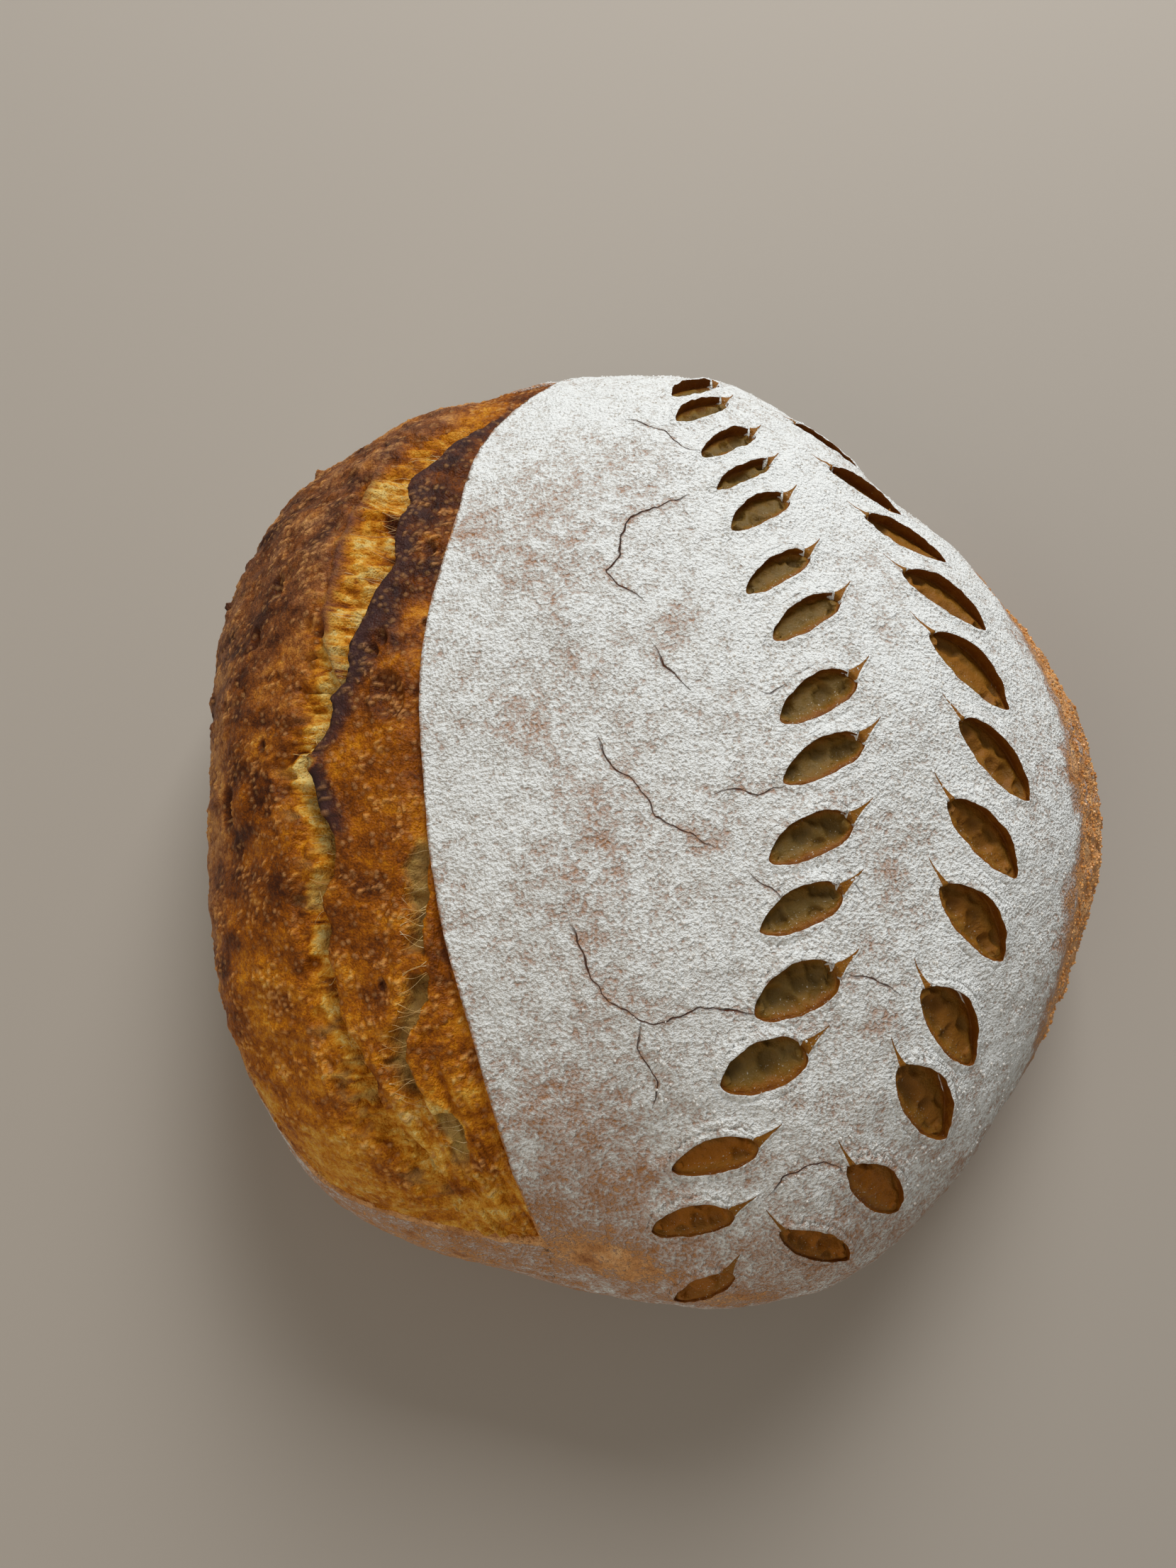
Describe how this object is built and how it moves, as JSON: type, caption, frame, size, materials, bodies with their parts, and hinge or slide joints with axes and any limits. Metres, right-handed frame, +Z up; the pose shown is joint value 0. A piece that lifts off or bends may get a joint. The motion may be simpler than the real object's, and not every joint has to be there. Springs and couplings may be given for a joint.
{
  "type": "sourdough loaf",
  "caption": "Round crusty sourdough loaf on a flat base, floured on top, with a torn burst along a long slash and a curved wheat ear of leaf-shaped cuts beside it.",
  "frame": {"origin": "on the base, under the middle of the loaf's outline", "axes": "+Z up through the crown, +Y along the long slash to its far end, +X to the side with the wheat ear"},
  "size_m": [0.2354, 0.2488, 0.1001],
  "materials": {
    "crust": "baked bread crust: matt white flour over the dome, golden brown torn crust along the slash, caramel inside the cuts"
  },
  "bodies": {
    "root": {"loaf": "crust"}
  },
  "joints": []
}
